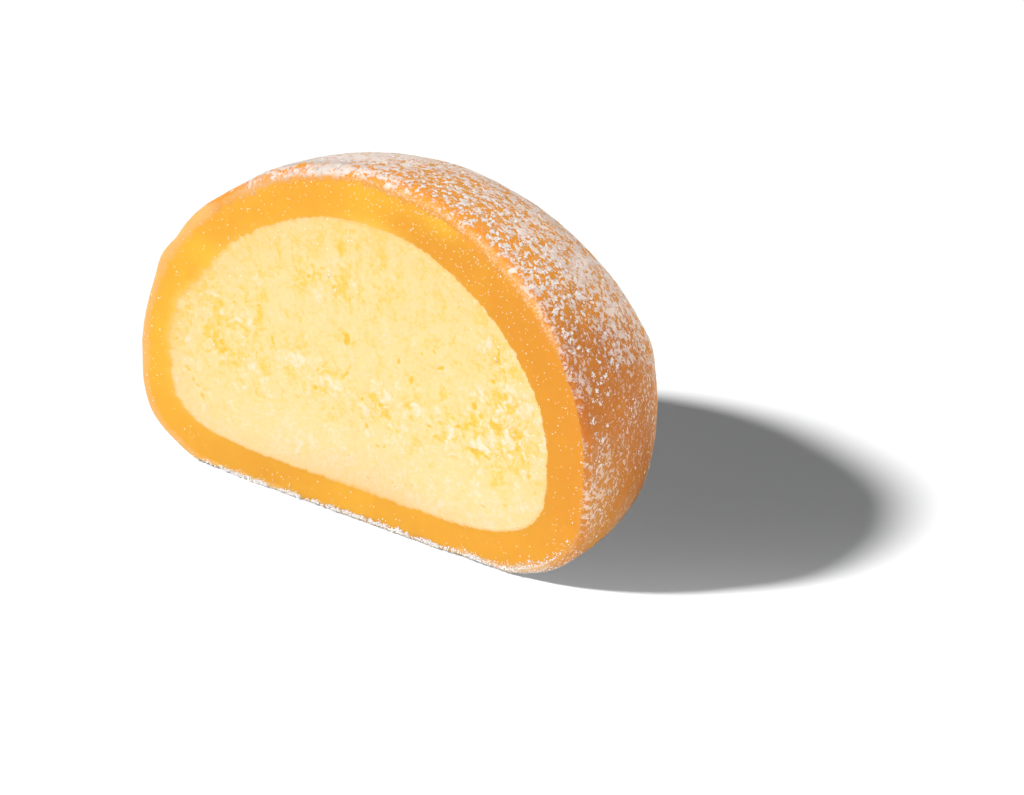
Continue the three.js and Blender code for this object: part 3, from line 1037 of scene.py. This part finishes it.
def powder_mask(look):
    """How far the powder's film hides the skin, and how far it stands above it.

    It lies in ragged flakes, smaller where finer is 1."""
    amount = look.attribute("powder")
    centred = look.vector("SUBTRACT", look.noise(1 / 2.6, 3.0, 0.5, "Color"), (0.5, 0.5, 0.5))
    moved = look.vector("MULTIPLY_ADD", centred, (0.9, 0.9, 0.9), look.place)
    flake, _ = look.cells(0.33, moved)
    flaky = flake * 1.7 + look.swing(0.6, 5.0, 0.68) * 7.0 - 0.85
    small_flake, from_middle = look.cells(0.3, moved)
    small = small_flake * 2.4 + look.swing(0.42, 4.0, 0.62) * 3.7 - from_middle * 2.2 - 0.1
    finer = look.attribute("finer")
    mixed = small * finer + flaky * (1.0 - finer)
    # mixed lies evenly round 0, nearly all of it between -2 and 2
    above = mixed + amount * 2.9 - 1.45
    torn = look.swing(1.3, 2.0) * 1.3 + look.swing(0.24, 3.0, 0.6) * 1.7 + flake * 0.4
    holes = look.ramp(torn, 0.46, 0.54) * look.ramp(amount, 0.52, 0.7)
    thick = look.ramp(above, -0.12, 0.26) * (1.0 - holes * 0.92)
    # painted shade: the film is thinner where the skin is painted darker
    opacity = amount * 0.3 + 0.62 - look.attribute("shaded") * 0.28
    return thick * opacity, above * 0.2


def dough_look():
    look = Look("orange rice dough")
    film, above = powder_mask(look)
    powder, behind_edge = look.attribute("powder"), look.attribute("behind_edge")
    by_pocket, hazy = look.attribute("by_pocket"), look.attribute("hazy")

    cut = look.mix(look.swing(1.6) * 0.3 + look.attribute("deep"), DOUGH_CUT, DOUGH_CUT_DEEP)
    cut = look.mix(look.attribute("yellow"), cut, DOUGH_CUT_YELLOW)
    uneven = look.ramp(look.noise(0.9, 4.0, 0.6), 0.22, 0.52)
    cut = look.mix(look.attribute("shown_through") * uneven, cut, DOUGH_BY_FILLING)
    fibres = look.swing(0.5, 5.0, 0.7) * 0.9 + by_pocket
    cut = look.mix(look.ramp(fibres, 0.86, 1.16) * 0.8, cut, FILLING_BY_DOUGH)

    # painted shade: the bare skin takes the darker colour where shaded is high, mottled at random
    mottled = look.swing(2.4, 4.0) * 0.8 + look.attribute("shaded")
    bare = look.mix(look.ramp(mottled, -0.1, 1.1), SKIN_BARE, SKIN_BARE_DARK)
    # painted light: lighter, yellower bare skin beside the cut, low on the right
    bare = look.mix(look.attribute("lit_through"), bare, SKIN_LIT)
    haze = look.ramp(look.noise(0.3, 6.0, 0.7), 0.4, 0.7) * 0.2 * look.ramp(powder, 0.0, 0.4)
    bare = look.mix(haze, bare, POWDER_HAZE)
    bare = look.mix(hazy * look.ramp(look.noise(0.5, 4.0, 0.65), 0.3, 0.62), bare, POWDER_HAZE)
    # painted shade: thick powder close behind the cut's top edge, where the key light falls strongest, is
    # painted darker
    on_ridge = look.ramp(powder, 0.5, 0.92) * look.ramp(behind_edge, 3.4, 1.4)
    powder_colour = look.mix(on_ridge, POWDER_FILM, POWDER_RIDGE_SHADE)
    powder_colour = look.mix(look.attribute("finer"), powder_colour, POWDER_CREAM)
    skin = look.mix(film, bare, powder_colour)

    # The powder thins out to a smear over the edge and ends in scallops.
    ragged, reach = look.attribute("ragged"), look.attribute("rim_reach")
    wobble = look.swing(1.1, 4.0, 0.6) * 4.0 + look.swing(0.4, 2.0, 0.5) * 0.8
    behind = wobble * ragged + behind_edge
    gathered = behind_edge * 0.14 + look.noise(0.16, 4.0, 0.66)
    flecks = look.ramp(gathered, 0.53, 0.59) * look.attribute("smeared")
    rim = look.mix(look.ramp(reach, 0.12, 0.4), DOUGH_BEND, DOUGH_RIM)
    rim = look.mix(hazy, rim, POWDER_HAZE)
    rim = look.mix(flecks * 0.8, rim, POWDER_SMEAR)
    colour = look.mix(look.ramp(behind + reach, -0.18, 0.34), cut, rim)
    soft_start = (behind - look.attribute("powder_begins")) / (ragged * 0.8 + 0.08)
    on_skin = look.ramp(soft_start, -0.8, 1.0)
    colour = look.mix(on_skin, colour, skin)

    height = look.noise(0.14) * 0.25 + look.ramp(above, -0.08, 0.16) * on_skin
    clear = (0.6 - film * on_skin * 0.48) * (1.0 - by_pocket * 0.92)
    return look.finish(colour, 0.62, 0.15, (clear, (1.0, 0.4, 0.12), 2.4), look.bump(height, 0.07))


def filling_look():
    look = Look("pale crumbly filling")
    from_dough, dough_glow = look.attribute("from_dough"), look.attribute("dough_glow")
    speckled = look.swing(0.24, 4.0, 0.68) * 1.64 + look.attribute("tone")
    lower = speckled * -1.0
    base = look.mix(look.ramp(speckled, 0.0, 1.0), FILLING_PLAIN, FILLING_PALE)
    base = look.mix(look.ramp(lower, 0.0, 0.8), base, FILLING_DEEP)
    base = look.mix(look.ramp(lower, 0.7, 1.3), base, FILLING_DEEPEST)
    # painted light: peach on the filling beside the dough
    base = look.mix(dough_glow, base, FILLING_BY_DOUGH)
    fibres = look.swing(0.5, 5.0, 0.7) + from_dough
    base = look.mix(look.ramp(fibres, 0.34, -0.06) * look.ramp(dough_glow, 0.0, 0.6), base, FILLING_EDGE)
    clear = look.ramp(from_dough, 0.0, 1.1) * 0.8 + 0.05
    normal = look.bump(look.noise(0.2, 4.0, 0.6), 0.03)
    return look.finish(base, 0.75, 0.15, (clear, (1.0, 0.8, 0.45), 1.1), normal)


def bits_look(name, pale, dull, roughness=0.85, specular=0.2):
    """The look of scattered bits, each a little different from the next."""
    look = Look(name)
    mottled = look.noise(0.15, 2.0) * 0.4 + look.attribute("shade") * 0.6
    return look.finish(look.mix(mottled, pale, dull), roughness, specular, (0.3, (1.0, 0.9, 0.8), 0.15))


def floor_look():
    look = Look("white paper floor")
    return look.finish(look.mix(look.noise(40.0, 2.0), FLOOR_WHITE, FLOOR_WHITER), 0.95, 0.0)


def dress(piece, material):
    piece.data.materials.clear()
    piece.data.materials.append(material)
    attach(piece, "root")
    return piece


# ---- lights and camera

AZIMUTH, ELEVATION = math.radians(39.89), math.radians(23.82)
CAMERA_DISTANCE = 377.2          # mm, from the foot of the cut
CAMERA_ASIDE = (10.18, 9.47)     # mm, how far the view's middle lies right of and above it
LENS, SENSOR = 180.74, 36.0
DOWN = (0.0, 0.0, -1.0)
KEY_TRAVEL, KEY_WIDTH = (0.711, 0.859, -0.985), 7.5
# The cake's suns: name, direction of travel, strength, and how wide they look, in degrees.
CAKE_SUNS = (
    ("key", KEY_TRAVEL, 2.6, KEY_WIDTH),
    ("fill", (-0.76, 0.22, -0.61), 3.0, 50),
    ("front", (0.15, 0.95, -0.27), 0.36, 60),
    ("sky", DOWN, 0.25, 150),
)
FLOOR_KEY_STRENGTH = 4.7    # more than the cake's key, so that the floor is just white
FLOOR_EVEN_STRENGTH = 0.4  # without shadow: the photographed shadow is grey right up to the cake
# A low strip lamp in front of the cake lifts the near side of the shadow; in mm.
STRIP_PLACE, STRIP_SIZE = (27, 3.5, 10), (60, 4)
STRIP_RADIANCE = 0.95
AMBIENT = (0.06, 0.062, 0.064, 1.0)
FLOOR_HALF = 4000.0   # mm


def look_along(item, direction):
    """Turns a lamp or camera, which looks along its own -Z, to a direction."""
    item.rotation_euler = Vector(direction).to_track_quat("-Z", "Y").to_euler()


def add_sun(lit, name, travel, strength, width):
    """A distant lamp that lights only the collection lit."""
    lamp = bpy.data.lights.new(name, "SUN")
    lamp.energy = strength
    lamp.angle = math.radians(width)
    item = new_item(name, lamp)
    look_along(item, travel)
    item.light_linking.receiver_collection = lit
    return lamp


def add_strip(lit):
    """A strip lamp that faces the floor, in line with the view; only what is lit shows it."""
    lamp = bpy.data.lights.new("floor strip", "AREA")
    lamp.shape = "RECTANGLE"
    lamp.size, lamp.size_y = STRIP_SIZE[0] * MM, STRIP_SIZE[1] * MM
    lamp.energy = STRIP_RADIANCE * HALF_TURN * lamp.size * lamp.size_y
    lamp.use_shadow = False
    item = new_item("floor strip", lamp)
    item.location = place(np.array(STRIP_PLACE))
    item.rotation_euler = (0.0, 0.0, AZIMUTH)
    item.visible_camera = False
    item.visible_glossy = False
    item.light_linking.receiver_collection = lit


def group_of(name, pieces):
    group = bpy.data.collections.new(name)
    for piece in pieces:
        group.objects.link(piece)
    return group


def add_camera():
    back = np.array([math.sin(AZIMUTH) * math.cos(ELEVATION), -math.cos(AZIMUTH) * math.cos(ELEVATION),
                     math.sin(ELEVATION)])
    right = np.array([math.cos(AZIMUTH), math.sin(AZIMUTH), 0.0])
    up = np.cross(back, right)
    camera = bpy.data.cameras.new("camera")
    camera.lens = LENS
    camera.sensor_width = SENSOR
    camera.sensor_fit = "HORIZONTAL"
    camera.clip_start = 0.01
    item = new_item("camera", camera)
    item.location = place(back * CAMERA_DISTANCE + right * CAMERA_ASIDE[0] + up * CAMERA_ASIDE[1])
    look_along(item, -back)
    bpy.context.scene.camera = item


def add_stage():
    corners = FLOOR_HALF * np.array([(-1, -1, 0), (1, -1, 0), (1, 1, 0), (-1, 1, 0)])
    floor = make_mesh("floor", corners, [[0, 1, 2, 3]])
    floor.data.materials.append(floor_look())
    floor_only = group_of("floor only", [floor])
    add_sun(floor_only, "floor key", KEY_TRAVEL, FLOOR_KEY_STRENGTH, KEY_WIDTH)
    even = add_sun(floor_only, "floor even", DOWN, FLOOR_EVEN_STRENGTH, KEY_WIDTH)
    even.use_shadow = False
    add_strip(floor_only)
    world = bpy.data.worlds.new("studio")
    world.use_nodes = True
    background = world.node_tree.nodes["Background"]
    background.inputs["Color"].default_value = AMBIENT
    background.inputs["Strength"].default_value = 1.0
    bpy.context.scene.world = world
    bpy.context.scene.view_settings.view_transform = "Standard"


# ---- putting it together

add_camera()
add_stage()

dough = dress(make_dough(), dough_look())
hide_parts("dough_skin")
filling = dress(make_filling(), filling_look())
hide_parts("filling")

powder_look = bits_look("rice powder", POWDER_WHITE, POWDER_DULL)
outside = outside_faces(dough)
bits = [
    dress(make_powder_clumps(outside), powder_look),
    dress(make_powder_grains(outside), powder_look),
    dress(make_base_powder(), bits_look("white powder", BASE_POWDER_WHITE, POWDER_WHITE)),
    dress(make_dough_specks(), bits_look("pale specks", SPECK_WHITE, SPECK_YELLOW, 0.35, 0.5)),
    dress(make_filling_crumbs(), bits_look("filling crumbs", FILLING_PALE, FILLING_PLAIN)),
]
for piece in (dough, filling):
    piece.visible_diffuse = False   # its orange light would tint the grey shadow on the floor
cake = group_of("cake only", [dough, filling, *bits])
for sun in CAKE_SUNS:
    add_sun(cake, *sun)
